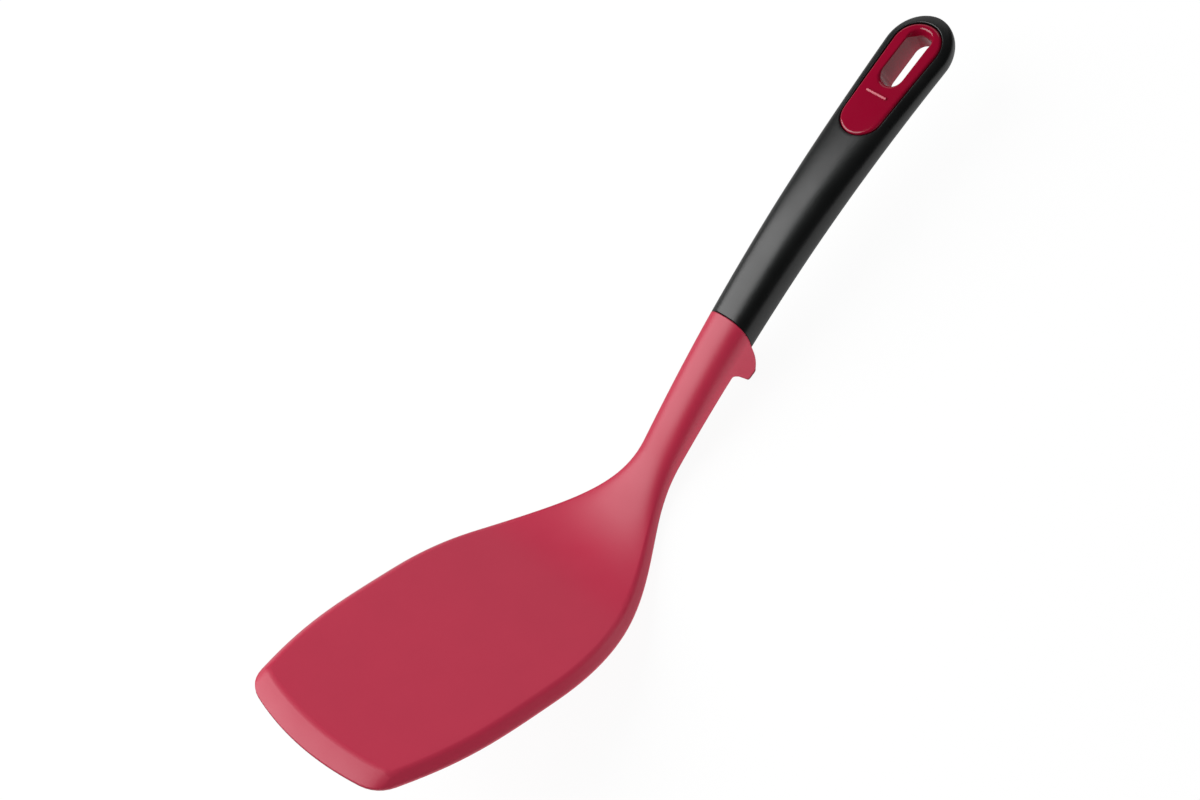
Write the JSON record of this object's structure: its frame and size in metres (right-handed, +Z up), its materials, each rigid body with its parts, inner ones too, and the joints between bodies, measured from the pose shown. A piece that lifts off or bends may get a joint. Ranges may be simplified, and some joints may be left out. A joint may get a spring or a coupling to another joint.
{
  "type": "silicone turner",
  "caption": "Kitchen turner with a bevelled flat silicone blade, a bent neck with a rest foot, and a curved soft grip with a hanging insert.",
  "frame": {"origin": "on the worktop that the turner lies on, under the middle of its bounding box", "axes": "+X along the length from the blade's tip to the handle's end, +Y to the left across the blade, +Z up from the worktop"},
  "size_m": [0.3232, 0.0832, 0.0747],
  "materials": {
    "silicone": "satin",
    "core_nylon": "matte",
    "handle_plastic": "matte",
    "grip": "satin",
    "insert": "gloss"
  },
  "bodies": {
    "root": {"silicone_head": "silicone", "head_core": "core_nylon", "handle_core": "handle_plastic", "handle_grip": "grip", "hang_insert": "insert"}
  },
  "joints": []
}
